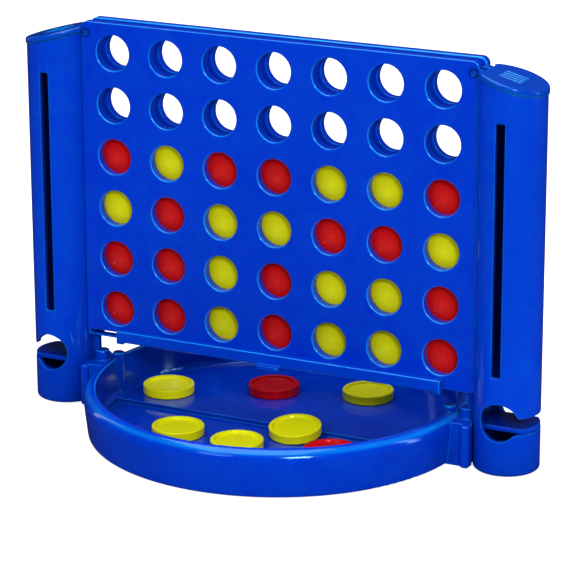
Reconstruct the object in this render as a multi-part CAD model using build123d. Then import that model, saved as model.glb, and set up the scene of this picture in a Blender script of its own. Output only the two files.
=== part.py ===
from build123d import *
import math
import os

# Travel-size vertical four in a row game: an upright grid between two storage towers
# with hinged caps, a release slider along the grid's foot, and a round tray.
# Frame: +Z up, origin on the ground midway between the two towers,
# X runs along the grid, -Y is the players' front side. All lengths in mm.
# Towers, caps, shelves and end posts are modelled on the right (+X) and mirrored.

# grid
N_COLS = 7
N_ROWS = 6
COL_PITCH = 24.8
ROW_PITCH = 22.2
ROW0_Z = 43.5
GRID_Y = 1.7                    # mid-plane of the disc slot, a little behind the towers' axes
GRID_HALF_T = 6.1
SLOT_HALF = 2.15
GRID_Y0, GRID_Y1 = GRID_Y - GRID_HALF_T, GRID_Y + GRID_HALF_T
SLOT_Y0, SLOT_Y1 = GRID_Y - SLOT_HALF, GRID_Y + SLOT_HALF
PANEL_HALF_W = 89.3
PANEL_Z0, PANEL_Z1 = 30.2, 167.0
FINGER_SLOT_X0, FINGER_SLOT_X1 = -88.0, 76.0
FINGER_SLOT_Z0, FINGER_SLOT_Z1 = 31.0, 32.9
WEB_Y0 = 3.05                   # front of the web at each end post's foot

# end post tongue, which drops into the tray
TONGUE_X0, TONGUE_X1 = 85.8, 88.4
TONGUE_Y0, TONGUE_Y1 = -1.9, 1.0
TONGUE_Z0 = 10.0

# towers
TOWER_X = 102.3
TOWER_R = 13.6
TOWER_WALL = 2.0
BORE_R = TOWER_R - TOWER_WALL
SLIT_Z0, SLIT_Z1 = 17.7, 24.5   # disc exit on the outer side

# caps and their pivots
CAP_SLOPE = 14.3                # degrees, falling outwards
CAP_REF_X, CAP_REF_Z = 89.0, 164.7
CAP_T = 2.2
PIVOT_X, PIVOT_Z = 87.05, 162.2
PIVOT_R = 1.10
PIVOT_BORE_R = PIVOT_R + 0.05
KNUCKLE_R = 1.5
ARM_HALF_Y = 1.9

# tray floors
TRAY_FLOOR_FRONT = 2.2
TRAY_FLOOR_REAR = 4.0
STEP_Y = -6.2                   # step between the two floors

# reach of the cutting shapes, beyond the parts they cut
CUT_X0 = 80.0                   # inner end of cuts into a tower or cap
CUT_TOP = 190.0
CUT_REACH = 30.0                # past a tower's axis

os.makedirs("parts", exist_ok=True)


def box(x0, x1, y0, y1, z0, z1):
    """box between opposite faces; a mirrored pair of limits may come in either order"""
    centre = Pos((x0 + x1) / 2, (y0 + y1) / 2, (z0 + z1) / 2)
    return centre * Box(abs(x1 - x0), abs(y1 - y0), z1 - z0)


def cyl_z(x, y, radius, z0, z1):
    return Pos(x, y, (z0 + z1) / 2) * Cylinder(radius, z1 - z0)


def cyl_y(x, z, radius, y0, y1):
    return Pos(x, (y0 + y1) / 2, z) * Rot(90, 0, 0) * Cylinder(radius, abs(y1 - y0))


def prism_y(points, y0, y1):
    """closed (x, z) outline extruded from y1 forward to y0"""
    with BuildSketch(Plane.XZ) as outline:
        with BuildLine():
            Polyline(*points, close=True)
        make_face()
    return Pos(0, y1, 0) * extrude(outline.sketch, amount=y1 - y0)


def near(value, target):
    return abs(value - target) < 1e-3


def circles(shape):
    return shape.edges().filter_by(GeomType.CIRCLE)


def largest(shape):
    """largest solid of a boolean result"""
    return max(shape.solids(), key=lambda solid: solid.volume)


def save(name, *shapes):
    solids = [solid for shape in shapes for solid in shape.solids()]
    part = solids[0] if len(solids) == 1 else Compound(children=solids)
    part.label = name
    export_step(part, f"parts/{name}.step")


def save_pair(name, right):
    save("right_" + name, right)
    save("left_" + name, largest(right.mirror(Plane.YZ)))


def col_x(col):
    return (col - (N_COLS - 1) / 2) * COL_PITCH


def row_z(row):
    return ROW0_Z + row * ROW_PITCH


# ---------------------------------------------------------------- panels
HOLE_R = 7.55
HOLE_LIP = 0.8
PANEL_CORNER_R = 3.0
PANEL_EDGE_R = 0.4
SLOT_LEAD_IN = 0.4
DIMPLE_R = 2.5
DIMPLE_D = 0.9


def panel(outward):
    """moulded plate with a round-lipped hole at each grid place; outward is -1 front, 1 rear"""
    y_out = GRID_Y + outward * GRID_HALF_T
    y_in = GRID_Y + outward * SLOT_HALF
    y0, y1 = sorted((y_out, y_in))
    slot_mid_z = (FINGER_SLOT_Z0 + FINGER_SLOT_Z1) / 2
    body = box(-PANEL_HALF_W, PANEL_HALF_W, y0, y1, PANEL_Z0, PANEL_Z1)

    # grid holes and pivot bores; the front plate also has the finger slot along its foot
    with BuildSketch(Plane.XZ) as cutouts:
        with Locations(*[(col_x(c), row_z(r)) for c in range(N_COLS) for r in range(N_ROWS)]):
            Circle(HOLE_R)
        with Locations((-PIVOT_X, PIVOT_Z), (PIVOT_X, PIVOT_Z)):
            Circle(PIVOT_BORE_R)
        if outward < 0:
            with Locations(((FINGER_SLOT_X0 + FINGER_SLOT_X1) / 2, slot_mid_z)):
                Rectangle(FINGER_SLOT_X1 - FINGER_SLOT_X0, FINGER_SLOT_Z1 - FINGER_SLOT_Z0)
    body = largest(body - Pos(0, y1 + 1, 0) * extrude(cutouts.sketch, amount=y1 - y0 + 2))

    hole_rims = [e for e in circles(body) if near(e.radius, HOLE_R) and near(e.center().Y, y_out)]
    body = largest(fillet(hole_rims, HOLE_LIP))
    top_corners = [e for e in body.edges()
                   if near(e.center().Z, PANEL_Z1) and near(abs(e.center().X), PANEL_HALF_W)]
    body = largest(fillet(top_corners, PANEL_CORNER_R))

    # outer face's outline, without the holes (large), bores (small) and finger slot
    def on_cutout(edge):
        if edge.geom_type == GeomType.CIRCLE and (edge.radius > 5 or edge.radius < 1.3):
            return True
        return any(near(edge.center().Z, z)
                   for z in (FINGER_SLOT_Z0, FINGER_SLOT_Z1, slot_mid_z))

    outline = [e for e in body.edges() if near(e.center().Y, y_out) and not on_cutout(e)]
    body = largest(fillet(outline, PANEL_EDGE_R))

    # shallow dimple round each pivot on the outer face
    for side in (-1, 1):
        dimple = cyl_y(side * PIVOT_X, PIVOT_Z, DIMPLE_R,
                       y_out - outward * DIMPLE_D, y_out + outward)
        body = largest(body - dimple)

    # lead-in along the top of the disc slot
    lead = [e for e in body.edges() if near(e.center().Y, y_in) and near(e.center().Z, PANEL_Z1)]
    return largest(chamfer(lead, SLOT_LEAD_IN))


save("front_panel", panel(-1))
save("rear_panel", panel(1))

# ---------------------------------------------------------------- dividers
DIVIDER_W = 2.4
DIVIDER_Z1 = 165.2
END_POST_X0, END_POST_X1 = 85.6, 87.9
END_POST_Z1 = 159.2
POST_FOOT_Z0, POST_FOOT_Z1 = 28.6, 30.15
POST_BASE_Z = 30.0              # bottom of the block and web above the foot
WEB_Z1 = 34.0
BAR_CHAMFER = 0.8


def divider(x):
    """bar between two columns, chamfered at the top"""
    bar = box(x - DIVIDER_W / 2, x + DIVIDER_W / 2, SLOT_Y0, SLOT_Y1, FINGER_SLOT_Z1, DIVIDER_Z1)
    return largest(chamfer(bar.edges().filter_by(Axis.Y).group_by(Axis.Z)[-1], BAR_CHAMFER))


def end_post():
    """post at the grid's end, with a tongue below it"""
    post = box(END_POST_X0, END_POST_X1, SLOT_Y0, SLOT_Y1, FINGER_SLOT_Z1, END_POST_Z1)
    foot = box(TONGUE_X0, TONGUE_X1, TONGUE_Y0, SLOT_Y1, POST_FOOT_Z0, POST_FOOT_Z1) + \
        box(END_POST_X0, END_POST_X1, SLOT_Y0, SLOT_Y1, POST_BASE_Z, FINGER_SLOT_Z0)
    tongue = box(TONGUE_X0, TONGUE_X1, TONGUE_Y0, TONGUE_Y1, TONGUE_Z0, POST_FOOT_Z0 + 0.1)
    tongue = chamfer(tongue.edges().group_by(Axis.Z)[0], BAR_CHAMFER)
    # thin rear web, behind the slider fingers' travel, ties the foot to the post
    web = box(END_POST_X0, END_POST_X1, WEB_Y0, SLOT_Y1, POST_BASE_Z, WEB_Z1)
    return largest(post + foot + tongue + web)


save("column_dividers", *[divider(col_x(c) + COL_PITCH / 2) for c in range(N_COLS - 1)])
save_pair("end_post", end_post())


# ---------------------------------------------------------------- cap slope
SLAB_X0, SLAB_X1 = 60.0, 140.0


def slope_z(x, drop=0.0):
    """height above x of the cap's top plane, lowered by drop along its normal"""
    slope = math.radians(CAP_SLOPE)
    return CAP_REF_Z - (x - CAP_REF_X) * math.tan(slope) - drop / math.cos(slope)


def slope_slab(upper, lower):
    """everything between two drops below the cap's top plane (right side)"""
    points = [(SLAB_X0, slope_z(SLAB_X0, upper)), (SLAB_X1, slope_z(SLAB_X1, upper)),
              (SLAB_X1, slope_z(SLAB_X1, lower)), (SLAB_X0, slope_z(SLAB_X0, lower))]
    return prism_y(points, -CUT_REACH, CUT_REACH)


# ---------------------------------------------------------------- towers
TOWER_BLANK_Z1 = 175.0          # before the sloping cut
TOWER_FLOOR = 2.0
TOWER_BASE_R = 1.4              # rounding of the bottom edge
CAP_GAP = 0.35
VIEW_W = 4.0                    # front window
VIEW_Z0, VIEW_Z1 = 41.5, 145.5
VIEW_Y1 = -5.0
VIEW_CORNER_R = 0.9
OPENING_X, OPENING_Z = 103.4, 22.6
OPENING_R = 7.9
OPENING_BLEND_R = 1.6
ARM_SIDE_GAP = 0.35
ARM_UNDER_GAP = 0.4
SEAT_X = PANEL_HALF_W + 0.03
SEAT_SIDE_GAP = 0.2
SEAT_UNDER_GAP = 0.05
TOWER_WEB_X1 = 94.0
TOWER_WEB_Z1 = 159.6
TOWER_WEB_INSET = 0.5           # from the panels' outer faces
TOWER_WEB_BITE = 0.8            # overlap with the tower wall


def tower():
    def upright(radius, z0, z1):
        # seam turned to the inner side
        return Pos(TOWER_X, 0, (z0 + z1) / 2) * Rot(0, 0, 180) * Cylinder(radius, z1 - z0)

    outer = upright(TOWER_R, 0, TOWER_BLANK_Z1)
    outer = fillet(circles(outer).group_by(Axis.Z)[0], TOWER_BASE_R)
    body = outer - upright(BORE_R, TOWER_FLOOR, CUT_TOP)
    # top cut along the cap plane
    body = largest(body - slope_slab(-60, CAP_T + CAP_GAP))

    # narrow front window that shows the stored stack
    window = box(TOWER_X - VIEW_W / 2, TOWER_X + VIEW_W / 2, -CUT_REACH, VIEW_Y1, VIEW_Z0, VIEW_Z1)
    body = body - fillet(window.edges().filter_by(Axis.Y), VIEW_CORNER_R)

    # finger opening through front and back, exit slit round the outer side
    opening = cyl_y(OPENING_X, OPENING_Z, OPENING_R, -CUT_REACH, CUT_REACH) + \
        box(OPENING_X, OPENING_X + CUT_REACH, -CUT_REACH, CUT_REACH, SLIT_Z0, SLIT_Z1)
    corners = [e for e in opening.edges().filter_by(Axis.Y)
               if e.center().X < OPENING_X + OPENING_R
               and (near(e.center().Z, SLIT_Z0) or near(e.center().Z, SLIT_Z1))]
    opening = fillet(corners, OPENING_BLEND_R)
    body = largest(body - largest(opening))

    # slot for the cap's arm at the top of the inner wall
    arm_half = ARM_HALF_Y + ARM_SIDE_GAP
    body = body - box(CUT_X0, TOWER_X, GRID_Y - arm_half, GRID_Y + arm_half,
                      PIVOT_Z - KNUCKLE_R - ARM_UNDER_GAP, CUT_TOP)
    # flat seat for the grid plates' ends, and the web that closes the gap to them
    body = body - box(CUT_X0, SEAT_X, GRID_Y0 - SEAT_SIDE_GAP, GRID_Y1 + SEAT_SIDE_GAP,
                      PANEL_Z0 - SEAT_UNDER_GAP, CUT_TOP)
    web = box(SEAT_X, TOWER_WEB_X1, GRID_Y0 + TOWER_WEB_INSET, GRID_Y1 - TOWER_WEB_INSET,
              PANEL_Z0, TOWER_WEB_Z1)
    web = web - cyl_z(TOWER_X, 0, TOWER_R - TOWER_WEB_BITE, 0, CUT_TOP)
    return largest(body + web)


save_pair("tower", tower())

# ---------------------------------------------------------------- shelves
SHELF_T = 2.1
SHELF_HALF_Y = 8.8
SHELF_Z0 = SLIT_Z0 + 0.1
SHELF_INSET = 0.15              # from the tower's outside
SHELF_RIM_R = 0.5
SHELF_EDGE_R = 0.4


def shelf():
    """shelf that the stored stack stands on, reaching out into the exit slit"""
    z0, z1 = SHELF_Z0, SHELF_Z0 + SHELF_T
    inner = cyl_z(TOWER_X, 0, BORE_R, z0, z1)
    outer = cyl_z(TOWER_X, 0, TOWER_R - SHELF_INSET, z0, z1)
    outer = fillet(circles(outer), SHELF_RIM_R)
    outer = outer & box(TOWER_X, TOWER_X + CUT_REACH, -CUT_REACH, CUT_REACH, z0 - 1, z1 + 1)
    # the plate is cut back where fingers reach in from front and back
    plate = largest(inner + outer) & \
        box(CUT_X0, TOWER_X + CUT_REACH, -SHELF_HALF_Y, SHELF_HALF_Y, z0 - 1, z1 + 1)
    plate = largest(plate)
    cut_edges = [e for e in plate.edges().filter_by(GeomType.LINE)
                 if near(abs(e.center().Y), SHELF_HALF_Y) and e.length > 5]
    return largest(fillet(cut_edges, SHELF_EDGE_R))


save_pair("dispenser_shelf", shelf())

# ---------------------------------------------------------------- caps
CAP_OVERHANG = 0.45
CAP_BLANK_Z0 = 140.0            # bottom of the columns the cap is sliced from
CAP_TOP_R = 0.9
CAP_LOW_R = 0.5
NOTCH_X1 = 92.3
NOTCH_HALF_Y = 6.45
SKIRT_GAP = 0.25
SKIRT_WALL = 1.3
SKIRT_OVERLAP = 0.3             # up into the plate
SKIRT_DROP = 1.3                # below the plate
SKIRT_NOTCH_X1 = 97.0
SKIRT_NOTCH_HALF_Y = 8.0
ARM_X1 = 95.5
ARM_RISE = 0.25                 # slope of the arm's top before trimming
PIN_INSET = 0.25
RIB_L, RIB_W, RIB_H = 9.6, 0.7, 0.28
RIB_ROOT = 0.6                  # depth sunk into the lid
RIB_EDGE_R = 0.2
RIB_PITCH = 2.6


def cap():
    """sloping lid with a hinge arm and two trunnion ends on one pin"""
    def curved_edges(shape):
        """edges that aren't straight, lowest first"""
        curved = [e for e in shape.edges() if e.geom_type != GeomType.LINE]
        return sorted(curved, key=lambda e: e.center().Z)

    def column(radius):
        return cyl_z(TOWER_X, 0, radius, CAP_BLANK_Z0, CUT_TOP)

    plate = largest(column(TOWER_R + CAP_OVERHANG) & slope_slab(0, CAP_T))
    # guards against either rim rounding failing; the plate then keeps what was done so far
    try:
        plate = fillet([curved_edges(plate)[-1]], CAP_TOP_R)
        plate = fillet([curved_edges(plate)[0]], CAP_LOW_R)
    except Exception:
        pass
    plate = largest(plate)
    plate = plate - box(CUT_X0, NOTCH_X1, GRID_Y - NOTCH_HALF_Y, GRID_Y + NOTCH_HALF_Y,
                        CAP_BLANK_Z0, CUT_TOP)

    # skirt that drops into the tower's mouth
    skirt_r = BORE_R - SKIRT_GAP
    skirt = (column(skirt_r) - column(skirt_r - SKIRT_WALL)) \
        & slope_slab(CAP_T - SKIRT_OVERLAP, CAP_T + SKIRT_DROP)
    skirt = skirt - box(CUT_X0, SKIRT_NOTCH_X1, -SKIRT_NOTCH_HALF_Y, SKIRT_NOTCH_HALF_Y,
                        CAP_BLANK_Z0, CUT_TOP)

    # arm to the pivot, trimmed flush with the lid's top
    arm_y = (GRID_Y - ARM_HALF_Y, GRID_Y + ARM_HALF_Y)
    knuckle = cyl_y(PIVOT_X, PIVOT_Z, KNUCKLE_R, *arm_y)
    arm_z0, arm_z1 = PIVOT_Z - KNUCKLE_R, PIVOT_Z + KNUCKLE_R
    arm = prism_y([(PIVOT_X, arm_z0), (ARM_X1, arm_z0),
                   (ARM_X1, arm_z1 + ARM_RISE * (ARM_X1 - PIVOT_X)), (PIVOT_X, arm_z1)], *arm_y)
    arm = largest(arm - slope_slab(-30, 0.0))
    pin = cyl_y(PIVOT_X, PIVOT_Z, PIVOT_R, GRID_Y0 + PIN_INSET, GRID_Y1 - PIN_INSET)
    lid = largest(plate + skirt + knuckle + arm + pin)

    # raised grip ribs on the lid
    rib = Box(RIB_L, RIB_W, RIB_H + RIB_ROOT)
    rib = fillet(rib.edges().group_by(Axis.Z)[-1], RIB_EDGE_R)
    for k in (-1.5, -0.5, 0.5, 1.5):
        place = Pos(TOWER_X, k * RIB_PITCH, slope_z(TOWER_X)) * Rot(0, CAP_SLOPE, 0)
        lid = largest(lid + place * Pos(0, 0, (RIB_H - RIB_ROOT) / 2) * rib)
    return lid


save_pair("cap", cap())

# ---------------------------------------------------------------- slider
RAIL_X0, RAIL_X1 = -73.8, 75.6
RAIL_Y0, RAIL_Y1 = -7.6, -4.5
RAIL_Z0, RAIL_Z1 = 29.6, 34.5
RAIL_EDGE_R = 0.6
LIP_X = -1.2
LIP_Y = RAIL_Y0 + 0.3
LIP_R = 5.2
LIP_FRONT_Y = RAIL_Y0 - 2.6
LIP_Z0, LIP_Z1 = RAIL_Z0 - 1.0, RAIL_Z0 + 0.6
LIP_EDGE_R = 0.5
STOP_L = 3.0
STOP_INSET = 0.6
STOP_Z0, STOP_Z1 = RAIL_Z0 - 0.9, RAIL_Z0 + 0.5
FINGER_W = 2.0
FINGER_Z0, FINGER_Z1 = 31.15, 32.4
FINGER_ROOT = 0.5               # overlap with the rail
FINGER_Y1 = 3.6
FINGER_WEB_GAP = 0.35


def slider():
    body = box(RAIL_X0, RAIL_X1, RAIL_Y0, RAIL_Y1, RAIL_Z0, RAIL_Z1)
    body = fillet(body.edges().group_by(Axis.Y)[0], RAIL_EDGE_R)
    # thumb lip under the middle of the rail: a round plate cut flat at front and back
    lip = cyl_z(LIP_X, LIP_Y, LIP_R, LIP_Z0, LIP_Z1) & \
        box(LIP_X - 10, LIP_X + 10, LIP_FRONT_Y, RAIL_Y1, LIP_Z0 - 5, LIP_Z1 + 5)
    body = body + fillet(circles(lip), LIP_EDGE_R)
    # small stops hanging at both ends
    for x in (RAIL_X0, RAIL_X1 - STOP_L):
        body = body + box(x, x + STOP_L, RAIL_Y0 + STOP_INSET, RAIL_Y1, STOP_Z0, STOP_Z1)
    # one finger under each column
    for c in range(N_COLS):
        # the first finger is shorter, to pass in front of the end post's web
        tip = WEB_Y0 - FINGER_WEB_GAP if c == 0 else FINGER_Y1
        body = body + box(col_x(c) - FINGER_W / 2, col_x(c) + FINGER_W / 2,
                          RAIL_Y1 - FINGER_ROOT, tip, FINGER_Z0, FINGER_Z1)
    return largest(body)


save("release_slider", slider())

# ---------------------------------------------------------------- tray
TRAY_R = 82.5
TRAY_BASE_R = 80.3              # the outer wall is drafted towards the ground
TRAY_H = 20.0
TRAY_SHOULDER_R = 4.6
TRAY_BOTTOM_EDGE_R = 1.5
WELL_TOP_R, WELL_BOTTOM_R = 76.9, 75.2
WELL_FLOOR_BLEND_R = 3.0
WELL_LIP_R = 0.5
UNDERCUT_R = 77.0
UNDERCUT_H = 0.8
LOW_FLOOR_INSET = 0.9
SADDLE_R = TOWER_R + 0.5
BRACKET_Z1 = 18.2
NECK_X0, NECK_X1 = 78.4, 88.5
NECK_HALF_Y = 8.6
FLANGE_X0, FLANGE_X1 = 86.2, 90.1
FLANGE_HALF_Y = 11.4
FLANGE_Z0 = 0.3
FLANGE_SIDE_R, FLANGE_TOP_R, FLANGE_LOW_R = 1.4, 1.0, 0.8
BOSS_X, BOSS_R, BOSS_Z1 = 85.0, 3.1, 22.6
BOSS_ROOT = 4.0                 # depth sunk into the bracket
BOSS_EDGE_R = 0.45
GUIDE_X, GUIDE_R, GUIDE_Z1 = 76.9, 2.8, 22.8
GUIDE_EDGE_R = 1.2
SOCKET_GAP = 0.1
SOCKET_OUTER_GAP = 1.0
SOCKET_DEPTH_GAP = 0.4
TRAY_CUT_TOP = 40.0


def round_top(peg, radius):
    return fillet(circles(peg).group_by(Axis.Z)[-1], radius)


def tray():
    # round dish: outer wall with a broad rolled shoulder, drafted inner wall
    dish = Pos(0, 0, TRAY_H / 2) * Cone(TRAY_BASE_R, TRAY_R, TRAY_H)
    dish = round_top(dish, TRAY_SHOULDER_R)
    dish = fillet(circles(dish).group_by(Axis.Z)[0], TRAY_BOTTOM_EDGE_R)
    depth = TRAY_H - TRAY_FLOOR_REAR
    well = Pos(0, 0, TRAY_FLOOR_REAR + depth / 2) * Cone(WELL_BOTTOM_R, WELL_TOP_R, depth)
    well = fillet(circles(well).group_by(Axis.Z)[0], WELL_FLOOR_BLEND_R)
    body = largest(dish - well)
    well_rim = [e for e in circles(body) if near(e.radius, WELL_TOP_R)]
    body = largest(fillet(well_rim, WELL_LIP_R))
    body = largest(body - cyl_z(0, 0, UNDERCUT_R, -1, UNDERCUT_H))
    # lower floor in front of the step
    low_floor = cyl_z(0, 0, WELL_BOTTOM_R - LOW_FLOOR_INSET,
                      TRAY_FLOOR_FRONT, TRAY_FLOOR_REAR + 2) & \
        box(-100, 100, -100, STEP_Y, 0, 10)
    body = largest(body - low_floor)

    # ends: neck, flange, boss, guide post and a saddle that nests round the tower
    for side in (-1, 1):
        neck = box(side * NECK_X0, side * NECK_X1, -NECK_HALF_Y, NECK_HALF_Y, 0.0, BRACKET_Z1)
        flange = box(side * FLANGE_X0, side * FLANGE_X1, -FLANGE_HALF_Y, FLANGE_HALF_Y,
                     FLANGE_Z0, BRACKET_Z1)
        flange = fillet(flange.edges().filter_by(Axis.Z), FLANGE_SIDE_R)
        flange = fillet([e for e in flange.edges() if near(e.center().Z, BRACKET_Z1)],
                        FLANGE_TOP_R)
        flange = fillet([e for e in flange.edges() if near(e.center().Z, FLANGE_Z0)],
                        FLANGE_LOW_R)
        boss = round_top(cyl_z(side * BOSS_X, 0, BOSS_R, BRACKET_Z1 - BOSS_ROOT, BOSS_Z1),
                         BOSS_EDGE_R)
        guide = round_top(cyl_z(side * GUIDE_X, 0, GUIDE_R, TRAY_FLOOR_REAR, GUIDE_Z1),
                          GUIDE_EDGE_R)
        body = body + neck + flange + boss + guide
        body = body - cyl_z(side * TOWER_X, 0, SADDLE_R, -5, TRAY_CUT_TOP)
        # socket for the end post's tongue
        body = body - box(side * (TONGUE_X0 - SOCKET_GAP), side * (TONGUE_X1 + SOCKET_OUTER_GAP),
                          TONGUE_Y0 - SOCKET_GAP, TONGUE_Y1 + SOCKET_GAP,
                          TONGUE_Z0 - SOCKET_DEPTH_GAP, TRAY_CUT_TOP)
        body = largest(body)
    return body


save("tray", tray())

# ---------------------------------------------------------------- discs
DISC_R = 11.0
DISC_T = 3.9
DISC_EDGE_R = 0.45
DISC_RIM_W = 1.8
DISC_RECESS = 0.9
DOME_SINK = 0.8                 # depth of the dome's foot behind the rim
DOME_CROWN = 0.05               # depth of its crown behind the rim


def disc():
    """counter with a raised rim: sunk face on top, shallow dome below; axis Z"""
    half = DISC_T / 2
    face_r = DISC_R - DISC_RIM_W
    body = Cylinder(DISC_R, DISC_T)
    body = fillet(circles(body), DISC_EDGE_R)
    recess = Pos(0, 0, half - DISC_RECESS / 2) * Cone(face_r - 0.35, face_r + 0.15, DISC_RECESS)
    # the underside is hollowed except for a spherical dome
    rise = DOME_SINK - DOME_CROWN
    dome_r = (face_r * face_r + rise * rise) / (2 * rise)
    hollow = cyl_z(0, 0, face_r, -half - 1, -half + DOME_SINK)
    hollow = hollow - Pos(0, 0, -half + DOME_CROWN + dome_r) * Sphere(dome_r)
    return largest(body - recess - hollow)


DISC = disc()
COLOURS = {"R": "red", "Y": "yellow"}
# discs in the grid, dome to the front: rows from the ground up, columns from left to right
PATTERN = [
    "RRYRYYR",
    "RRYRYYR",
    "YRYYRRY",
    "RYRRYYR",
]
for r, line in enumerate(PATTERN):
    for c, key in enumerate(line):
        save(f"disc_c{c + 1}_r{r + 1}_{COLOURS[key]}",
             Pos(col_x(c), GRID_Y, row_z(r)) * Rot(-90, 0, 0) * DISC)

# discs lying in the tray, dome down: x, y, colour, floor height
TRAY_DISCS = [
    (-58.4, 10.4, "yellow", TRAY_FLOOR_REAR),
    (-17.5, 30.0, "red", TRAY_FLOOR_REAR),
    (22.3, 40.5, "yellow", TRAY_FLOOR_REAR),
    (-32.4, -29.7, "yellow", TRAY_FLOOR_FRONT),
    (-2.8, -33.9, "yellow", TRAY_FLOOR_FRONT),
    (36.1, -26.8, "red", TRAY_FLOOR_FRONT),
]
REST_GAP = 0.05
for i, (x, y, colour, floor) in enumerate(TRAY_DISCS):
    save(f"tray_disc_{i + 1}_{colour}", Pos(x, y, floor + DISC_T / 2 + REST_GAP) * DISC)

# one more disc leans on the step, its rear edge raised
LEAN_X, LEAN_Y = 12.9, -11.6
LEAN_GAP = 0.08
flat_r = DISC_R - DISC_EDGE_R
lean = math.atan2(TRAY_FLOOR_REAR - TRAY_FLOOR_FRONT, STEP_Y - LEAN_Y + flat_r)
lean_z = TRAY_FLOOR_FRONT + flat_r * math.sin(lean) + DISC_T / 2 * math.cos(lean) + LEAN_GAP
save("tray_disc_7_yellow", Pos(LEAN_X, LEAN_Y, lean_z) * Rot(math.degrees(lean), 0, 0) * DISC)
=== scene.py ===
"""Looks, light and camera for an upright drop-the-discs grid game.

Metres: X runs along the board, -Y towards the player who faces the tray, Z up,
and the floor is at Z = 0.
"""

import math

import bpy
from mathutils import Matrix, Vector

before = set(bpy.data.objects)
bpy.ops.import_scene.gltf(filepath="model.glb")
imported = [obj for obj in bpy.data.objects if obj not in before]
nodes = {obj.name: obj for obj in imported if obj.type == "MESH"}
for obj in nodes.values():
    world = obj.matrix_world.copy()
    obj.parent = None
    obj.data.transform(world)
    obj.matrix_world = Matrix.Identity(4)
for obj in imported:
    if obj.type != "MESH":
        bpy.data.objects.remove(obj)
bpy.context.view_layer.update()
scene = bpy.context.scene


# ------------------------------------------------------------ shader graphs

class Graph:
    """The shader nodes of one material or world, starting from none."""

    def __init__(self, owner):
        owner.use_nodes = True
        self.tree = owner.node_tree
        self.tree.nodes.clear()

    def feed(self, socket, value):
        """Link another node's output to a socket, or set its value (colours as RGB)."""
        if isinstance(value, bpy.types.NodeSocket):
            self.tree.links.new(value, socket)
        else:
            socket.default_value = (*value, 1.0) if socket.type == "RGBA" else value

    def add(self, kind, inputs=None, **settings):
        """Add a node; inputs maps socket names or numbers to values or outputs."""
        node = self.tree.nodes.new("ShaderNode" + kind)
        for key, value in settings.items():
            setattr(node, key, value)
        for key, value in (inputs or {}).items():
            self.feed(node.inputs[key], value)
        return node

    def source(self, kind, output):
        return self.add(kind).outputs[output]

    def maths(self, operation, *values, clamp=False):
        node = self.add("Math", dict(enumerate(values)), operation=operation, use_clamp=clamp)
        return node.outputs[0]

    def times(self, a, b):
        return self.maths("MULTIPLY", a, b)

    def measure(self, operation, *vectors):
        """A vector operation that gives one number."""
        node = self.add("VectorMath", dict(enumerate(vectors)), operation=operation)
        return node.outputs["Value"]

    def remap(self, value, span, to=(0.0, 1.0)):
        """Map the ends of span to the ends of to, clamped."""
        return self.add("MapRange", {
            "From Min": span[0], "From Max": span[1],
            "To Min": to[0], "To Max": to[1], "Value": value,
        }, clamp=True).outputs["Result"]

    def noise(self, vector, scale, detail=2.0, rough=0.5, distortion=0.0):
        return self.add("TexNoise", {
            "Scale": scale, "Detail": detail, "Roughness": rough,
            "Distortion": distortion, "Vector": vector,
        }).outputs["Fac"]

    def stretch(self, vector, scale, rotation=(0, 0, 0)):
        return self.add("Mapping", {
            "Scale": scale, "Rotation": rotation, "Vector": vector,
        }).outputs["Vector"]

    def mix(self, factor, a, b):
        # inputs 6 and 7 and output 2 are the Mix node's colour sockets
        return self.add("Mix", {0: factor, 6: a, 7: b}, data_type="RGBA").outputs[2]

    def reach_xz(self, vector, x, z):
        """Distance from (x, z), seen along Y."""
        return self.measure("DISTANCE", self.stretch(vector, (1.0, 0.0, 1.0)), (x, 0.0, z))


# ------------------------------------------------------------ plastic: colour

# Painted shade in the shallow round recess over each pivot, in object coordinates
PIVOT_X, PIVOT_Z = 0.08705, 0.1622
RECESS_RADIUS = 0.0025
RECESS_SHADE = (0.000, 0.004, 0.09)
RECESS_DARKNESS = 0.72

# Round dish of the tray, in object coordinates
DISH_RADIUS = 0.0795
DISH_LIP_Z = 0.0195          # the painted lip highlight shows only from about this height up

# Painted shade in deep corners
HOLLOW_REACH = 0.045         # how far the occlusion test looks
HOLLOW_SHADE = (0.000, 0.002, 0.030)

LIP_HIGHLIGHT_FACING = (0.70, 0.0, 0.71)    # lips that face right and up get the strongest painted highlight
GLOW_CENTRE = (0.44, 0.41)       # centre of the painted glow, x, z across a disc's bounding box, 0 to 1


def moulded_colour(graph, place, base, shade, light):
    """Slow drift, finer flow marks and a small difference from piece to piece."""
    info = graph.add("ObjectInfo")
    drift = graph.noise(place, scale=14.0, detail=3.0, rough=0.55, distortion=0.3)
    flow = graph.noise(place, scale=120.0, detail=4.0, rough=0.6, distortion=0.8)
    colour = graph.mix(graph.remap(drift, span=(0.32, 0.68)), shade, base)
    flow = graph.remap(flow, span=(0.3, 0.7))
    colour = graph.mix(graph.times(flow, 0.05), colour, light)
    value = graph.remap(info.outputs["Random"], span=(0.0, 1.0), to=(0.95, 1.04))
    return graph.add("HueSaturation", {"Value": value, "Color": colour}).outputs["Color"]


def edge_wear_and_highlight(graph, place, geometry, rounded):
    """Painted highlight along edges, 1 where the rounded normal leaves the true one; the same
    mask roughens the edges as wear.
    """
    agreement = graph.measure("DOT_PRODUCT", rounded, geometry.outputs["Normal"])
    rim = graph.remap(agreement, span=(0.985, 0.80))
    patches = graph.noise(place, scale=85.0, detail=3.0)
    return graph.times(rim, graph.remap(patches, span=(0.25, 0.7), to=(0.45, 1.0)))


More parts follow.
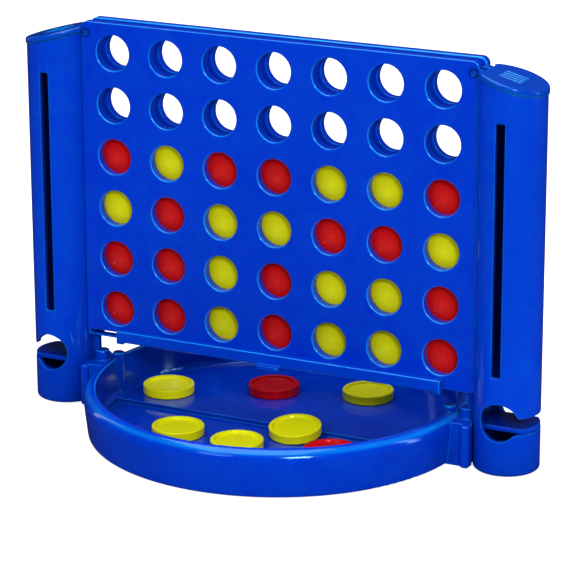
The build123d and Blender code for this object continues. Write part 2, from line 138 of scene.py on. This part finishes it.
def painted_lip_highlight(graph, place, geometry, axis, gain, dish):
    """Painted highlight on the thin rounded corner between a face across the axis and a bore or
    a side, strongest where it faces the key light.
    """
    normal = geometry.outputs["True Normal"]
    split = graph.add("SeparateXYZ", {0: normal})
    lean = graph.maths("ABSOLUTE", split.outputs[axis])
    off_side = graph.remap(lean, span=(0.30, 0.62))
    off_face = graph.remap(lean, span=(0.72, 0.96), to=(1.0, 0.0))
    facing = graph.measure("DOT_PRODUCT", normal, LIP_HIGHLIGHT_FACING)
    lit = graph.remap(facing, span=(-0.15, 0.50), to=(0.16, 1.0))
    highlight_band = graph.times(graph.times(off_side, off_face), graph.times(lit, gain))
    if dish:
        height = graph.add("SeparateXYZ", {0: place}).outputs["Z"]
        highlight_band = graph.times(highlight_band, graph.remap(height, span=(DISH_LIP_Z - 0.002, DISH_LIP_Z)))
    patches = graph.noise(place, scale=60.0, detail=2.0)
    return graph.times(highlight_band, graph.remap(patches, span=(0.3, 0.7), to=(0.6, 1.0)))


def painted_glow_middle(graph, gain):
    """Painted glow in the middle of a disc, standing in for backlight through its thin plastic;
    brighter than its rim.
    """
    local = graph.source("TexCoord", "Generated")
    reach = graph.reach_xz(local, *GLOW_CENTRE)
    middle = graph.remap(reach, span=(0.02, 0.40), to=(1.0, 0.0))
    return graph.times(graph.maths("POWER", middle, 1.6), gain)


def hollow_shade(graph, place, darkness, dish):
    """Painted shade in deep corners, where an occlusion test finds little light."""
    hollow = graph.add("AmbientOcclusion", {"Distance": HOLLOW_REACH}, samples=8)
    dim = graph.remap(hollow.outputs["AO"], span=(0.20, 0.85), to=(darkness, 0.0))
    if dish:
        # full strength inside the dish, a quarter of it outside
        reach = graph.measure("LENGTH", graph.stretch(place, (1.0, 1.0, 0.0)))
        inside = graph.remap(reach, span=(DISH_RADIUS - 0.001, DISH_RADIUS), to=(1.0, 0.25))
        dim = graph.times(dim, inside)
    return dim


# ------------------------------------------------------------ plastic: surface

def scratches(graph, place):
    """Hairlines in two directions, roughly along X and along Z."""
    along_x = graph.stretch(place, scale=(40.0, 900.0, 1400.0), rotation=(0.3, 0.2, 0.15))
    line_x = graph.noise(along_x, scale=1.0, detail=1.0)
    along_z = graph.stretch(place, scale=(1300.0, 700.0, 35.0), rotation=(0.1, 0.35, -0.2))
    line_z = graph.noise(along_z, scale=1.0, detail=1.0)
    return graph.maths("MAXIMUM", graph.remap(line_x, span=(0.70, 0.78)),
                       graph.remap(line_z, span=(0.71, 0.79)))


def roughness(graph, place, rough, hair, worn_and_highlight):
    """Base roughness, raised by handling smudges, scratches and worn edges."""
    smudge = graph.noise(place, scale=38.0, detail=4.0, rough=0.6, distortion=0.6)
    smudge = graph.remap(smudge, span=(0.48, 0.72))
    total = graph.maths("ADD", rough, graph.times(smudge, 0.05))
    total = graph.maths("ADD", total, graph.times(hair, 0.06))
    return graph.maths("ADD", total, graph.times(worn_and_highlight, 0.08), clamp=True)


def relief(graph, place, wave, hair, rounded):
    """Normal with moulding waviness, fine orange peel and scratches."""
    broad = graph.noise(place, scale=55.0, detail=1.0, rough=0.4)
    peel = graph.noise(place, scale=1500.0, detail=1.0, rough=0.5)
    height = graph.maths("ADD", graph.times(broad, wave), graph.times(peel, 0.006))
    height = graph.maths("SUBTRACT", height, graph.times(hair, 0.0015))
    return graph.add("Bump", {
        "Strength": 1.0, "Distance": 0.0010, "Height": height, "Normal": rounded,
    }).outputs[0]


def plastic(name, base, shade, light, rough=0.14, coat=0.12, wave=0.07,
            edge=0.0007, edge_gain=0.80, lip_axis=None, lip_gain=1.0, glow=0.0,
            tint=(0.16, 0.62, 1.0), level=0.62, hollows=0.0, recesses=False, dish=False):
    """Glossy injection-moulded plastic.

    base, shade, light: main colour, its darker drift and the pale colour of flow marks and of
    the painted highlights on edges, lips and disc middles
    rough, coat, wave: roughness, clear coat weight, height of the waviness
    edge, edge_gain: radius of the rounded edges and how strong their painted highlight is
    lip_axis, lip_gain: axis of the faces whose lips get a painted highlight, and how strong it
    is
    glow: brightness of the painted glow in a disc's middle
    tint, level: colour and strength of the highlights
    hollows: darkness of the painted shade in deep corners
    recesses, dish: whether shade is painted into the pivot recesses, and whether the piece has
    the tray's dish
    """
    material = bpy.data.materials.new(name)
    graph = Graph(material)
    out = graph.add("OutputMaterial")
    surface = graph.add("BsdfPrincipled")
    graph.feed(out.inputs["Surface"], surface.outputs[0])
    place = graph.source("TexCoord", "Object")
    geometry = graph.add("NewGeometry")

    colour = moulded_colour(graph, place, base, shade, light)
    rounded = graph.add("Bevel", {"Radius": edge}, samples=4).outputs[0]
    worn_and_highlight = edge_wear_and_highlight(graph, place, geometry, rounded)
    # painted highlight: rounded edges mixed towards the pale colour
    colour = graph.mix(graph.times(worn_and_highlight, edge_gain), colour, light)
    if lip_axis:
        # painted highlight on the lips
        highlight_band = painted_lip_highlight(graph, place, geometry, lip_axis, lip_gain, dish)
        colour = graph.mix(highlight_band, colour, light)
    # painted glow in a disc's middle
    if glow:
        colour = graph.mix(painted_glow_middle(graph, glow), colour, light)
    # painted shade in deep corners
    if hollows:
        dim = hollow_shade(graph, place, hollows, dish)
        colour = graph.mix(dim, colour, HOLLOW_SHADE)
    # painted shade in the pivot recesses
    if recesses:
        for x in (-PIVOT_X, PIVOT_X):
            reach = graph.reach_xz(place, x, PIVOT_Z)
            shaded = graph.remap(reach, span=(RECESS_RADIUS * 0.70, RECESS_RADIUS * 1.02),
                                 to=(RECESS_DARKNESS, 0.0))
            colour = graph.mix(shaded, colour, RECESS_SHADE)

    hair = scratches(graph, place)
    normal = relief(graph, place, wave, hair, rounded)
    for socket, value in {
        "Base Color": colour,
        "Roughness": roughness(graph, place, rough, hair, worn_and_highlight),
        "Normal": normal,
        "IOR": 1.49,
        "Specular IOR Level": level,
        "Specular Tint": tint,
        "Coat Weight": coat,
        "Coat Roughness": 0.05,
        "Coat Normal": normal,
    }.items():
        graph.feed(surface.inputs[socket], value)
    return material


# ------------------------------------------------------------ the materials

# Colours are linear RGB, as base, shade and light
PALE_BLUE = (0.004, 0.36, 0.95)
BODY_BLUE = ((0.000, 0.030, 0.60), (0.000, 0.026, 0.55), PALE_BLUE)
TOWER_BLUE = ((0.000, 0.040, 0.64), (0.000, 0.034, 0.58), PALE_BLUE)
CAP_BLUE = ((0.000, 0.046, 0.50), (0.000, 0.040, 0.45), PALE_BLUE)
SLIDER_BLUE = ((0.000, 0.042, 0.62), (0.000, 0.034, 0.56), PALE_BLUE)
TRAY_BLUE = ((0.000, 0.032, 0.55), (0.000, 0.027, 0.50), PALE_BLUE)
DISC_RED = ((0.54, 0.001, 0.005), (0.46, 0.001, 0.004), (0.92, 0.05, 0.035))
YELLOW_MID = (0.62, 0.63, 0.000)
YELLOW_LIGHT = (0.92, 0.93, 0.03)
# Loose yellow discs get a lighter yellow and the discs in the grid a darker one: lit and shaded
# copies of one disc colour
DISC_YELLOW_LIT = ((0.74, 0.74, 0.000), YELLOW_MID, YELLOW_LIGHT)
GRID_YELLOW_SHADED = (YELLOW_MID, (0.54, 0.55, 0.000), YELLOW_LIGHT)

# Discs are duller than the body and have tighter edges
DISC = dict(rough=0.20, coat=0.05, wave=0.05, edge=0.0004, edge_gain=0.50, level=0.30)
RED_FINISH = dict(DISC, tint=(1.0, 0.20, 0.15))
YELLOW_FINISH = dict(DISC, tint=(1.0, 1.0, 0.25))

PANEL = plastic("grid_panel_plastic", *BODY_BLUE, lip_axis="Y", recesses=True)
SLOT_FINISHES = {
    "blue_body": plastic("blue_body_plastic", *BODY_BLUE, hollows=0.62),
    "towers": plastic("tower_plastic", *TOWER_BLUE, rough=0.13, hollows=0.55),
    "caps": plastic("cap_plastic", *CAP_BLUE, edge=0.0006, edge_gain=1.0),
    "slider": plastic("slider_plastic", *SLIDER_BLUE, lip_axis="Y"),
    "tray": plastic("tray_plastic", *TRAY_BLUE, rough=0.12, wave=0.05,
                    lip_axis="Z", lip_gain=0.80, hollows=0.66, dish=True),
    "red_disc": plastic("red_disc_plastic", *DISC_RED, **RED_FINISH),
    "yellow_disc": plastic("yellow_disc_plastic", *DISC_YELLOW_LIT, **YELLOW_FINISH),
}
# Discs named disc_... get a painted glow in the middle, standing in for backlight
BACKLIT_FINISHES = {
    "red_disc": plastic("red_disc_backlit", *DISC_RED, glow=0.30, **RED_FINISH),
    "yellow_disc": plastic("yellow_disc_backlit", *GRID_YELLOW_SHADED, glow=0.34, **YELLOW_FINISH),
}

SLOT_BY_ENDING = {
    "_red": "red_disc", "_yellow": "yellow_disc", "_tower": "towers", "_cap": "caps",
}
SLOT_BY_NAME = {"release_slider": "slider", "tray": "tray"}


def slot_of(name):
    for ending, slot in SLOT_BY_ENDING.items():
        if name.endswith(ending):
            return slot
    return SLOT_BY_NAME.get(name, "blue_body")


def finish_of(name, slot):
    if name.startswith("disc_"):
        return BACKLIT_FINISHES["red_disc" if slot == "red_disc" else "yellow_disc"]
    if name.endswith("_panel"):
        return PANEL
    return SLOT_FINISHES[slot]


for name, obj in nodes.items():
    slot = slot_of(name)
    obj.data.materials.clear()
    obj.data.materials.append(finish_of(name, slot))


# ------------------------------------------------------------ tower lips

def soften_lips(obj):
    """Give the openings, window and mouth of a tower a soft moulded lip."""
    weld = obj.modifiers.new("weld", "WELD")
    weld.merge_threshold = 0.00001
    lip = obj.modifiers.new("lip", "BEVEL")
    lip.limit_method = "ANGLE"
    lip.angle_limit = math.radians(38)
    lip.width = 0.0007
    lip.segments = 3
    lip.use_clamp_overlap = True
    even = obj.modifiers.new("even_normals", "WEIGHTED_NORMAL")
    even.keep_sharp = False
    even.weight = 60


for name in ("left_tower", "right_tower"):
    soften_lips(nodes[name])


# ------------------------------------------------------------ floor

FLOOR_HALF = 6.0
FLOOR_DROP = 0.0002      # keeps the floor clear of the pieces that stand on it


def floor_material():
    """Pale floor that glows to the camera and is nearly black in reflections."""
    material = bpy.data.materials.new("pale_floor")
    graph = Graph(material)
    path = graph.add("LightPath")
    colour = graph.mix(path.outputs["Is Glossy Ray"], (0.80, 0.80, 0.80), (0.02, 0.02, 0.025))
    diffuse = graph.add("BsdfDiffuse", {"Color": colour})
    strength = graph.times(path.outputs["Is Camera Ray"], 0.72)
    glow = graph.add("Emission", {"Strength": strength})
    both = graph.add("AddShader", {0: diffuse.outputs[0], 1: glow.outputs[0]})
    graph.add("OutputMaterial", {"Surface": both.outputs[0]})
    return material


floor_mesh = bpy.data.meshes.new("floor")
corners = [(x * FLOOR_HALF, y * FLOOR_HALF, 0) for x, y in ((-1, -1), (1, -1), (1, 1), (-1, 1))]
floor_mesh.from_pydata(corners, [], [(0, 1, 2, 3)])
floor = bpy.data.objects.new("floor", floor_mesh)
floor.location.z = -FLOOR_DROP
scene.collection.objects.link(floor)
floor_mesh.materials.append(floor_material())


# ------------------------------------------------------------ world

def studio_world():
    """White to the camera; a dim room, brighter behind (+Y), to all other rays."""
    world = bpy.data.worlds.new("studio")
    graph = Graph(world)
    path = graph.add("LightPath")
    split = graph.add("SeparateXYZ", {0: graph.source("TexCoord", "Generated")})
    behind = graph.remap(split.outputs["Y"], span=(-0.10, 0.80), to=(0.03, 0.16))
    # reflections see a darker room than diffuse light does
    level = graph.remap(path.outputs["Is Glossy Ray"], span=(0.0, 1.0), to=(0.55, 0.22))
    room = graph.add("Background", {
        "Strength": graph.times(behind, level), "Color": (0.97, 0.98, 1.0),
    })
    sweep = graph.add("Background", {"Color": (1, 1, 1), "Strength": 1.05})
    pick = graph.add("MixShader", {
        0: path.outputs["Is Camera Ray"], 1: room.outputs[0], 2: sweep.outputs[0],
    })
    graph.add("OutputWorld", {"Surface": pick.outputs[0]})
    return world


scene.world = studio_world()


# ------------------------------------------------------------ lights

LIGHT_TARGET = Vector((0.0, 0.0, 0.09))
# name, place, width and height, watts
SOFTBOXES = (
    ("key_front_right", (0.95, -1.25, 0.95), (0.40, 0.40), 18.5),
    ("fill_front", (-0.35, -1.5, 0.9), (0.5, 0.5), 3.6),
    ("top", (-0.15, -0.05, 1.15), (1.4, 0.9), 14.5),
    ("strip_right", (0.95, 0.25, 0.30), (0.10, 0.8), 2.0),
    ("strip_left", (-0.95, 0.15, 0.30), (0.10, 0.8), 0.5),
)

for name, place, size, watts in SOFTBOXES:
    light = bpy.data.lights.new(name, "AREA")
    light.shape = "RECTANGLE"
    light.size, light.size_y = size
    light.energy = watts
    obj = bpy.data.objects.new(name, light)
    obj.location = place
    obj.rotation_mode = "QUATERNION"
    obj.rotation_quaternion = (LIGHT_TARGET - Vector(place)).to_track_quat("-Z", "Y")
    scene.collection.objects.link(obj)


# ------------------------------------------------------------ camera

CAMERA_PLACE = (0.50050, -1.01050, 0.41561)
# columns are the camera's right, up and backward directions
CAMERA_TURN = Matrix((
    (0.89798598, -0.12910218, 0.42065877),
    (0.44001282, 0.27029592, -0.85634621),
    (-0.00314618, 0.95408215, 0.29952856),
))

lens = bpy.data.cameras.new("camera")
lens.sensor_fit = "HORIZONTAL"
lens.sensor_width = 36.0     # millimetres, as is the focal length
lens.lens = 178.51
lens.clip_start, lens.clip_end = 0.05, 20.0
camera = bpy.data.objects.new("camera", lens)
scene.collection.objects.link(camera)
camera.matrix_world = Matrix.Translation(CAMERA_PLACE) @ CAMERA_TURN.to_4x4()
scene.camera = camera

scene.view_settings.view_transform = "Standard"
scene.view_settings.look = "None"
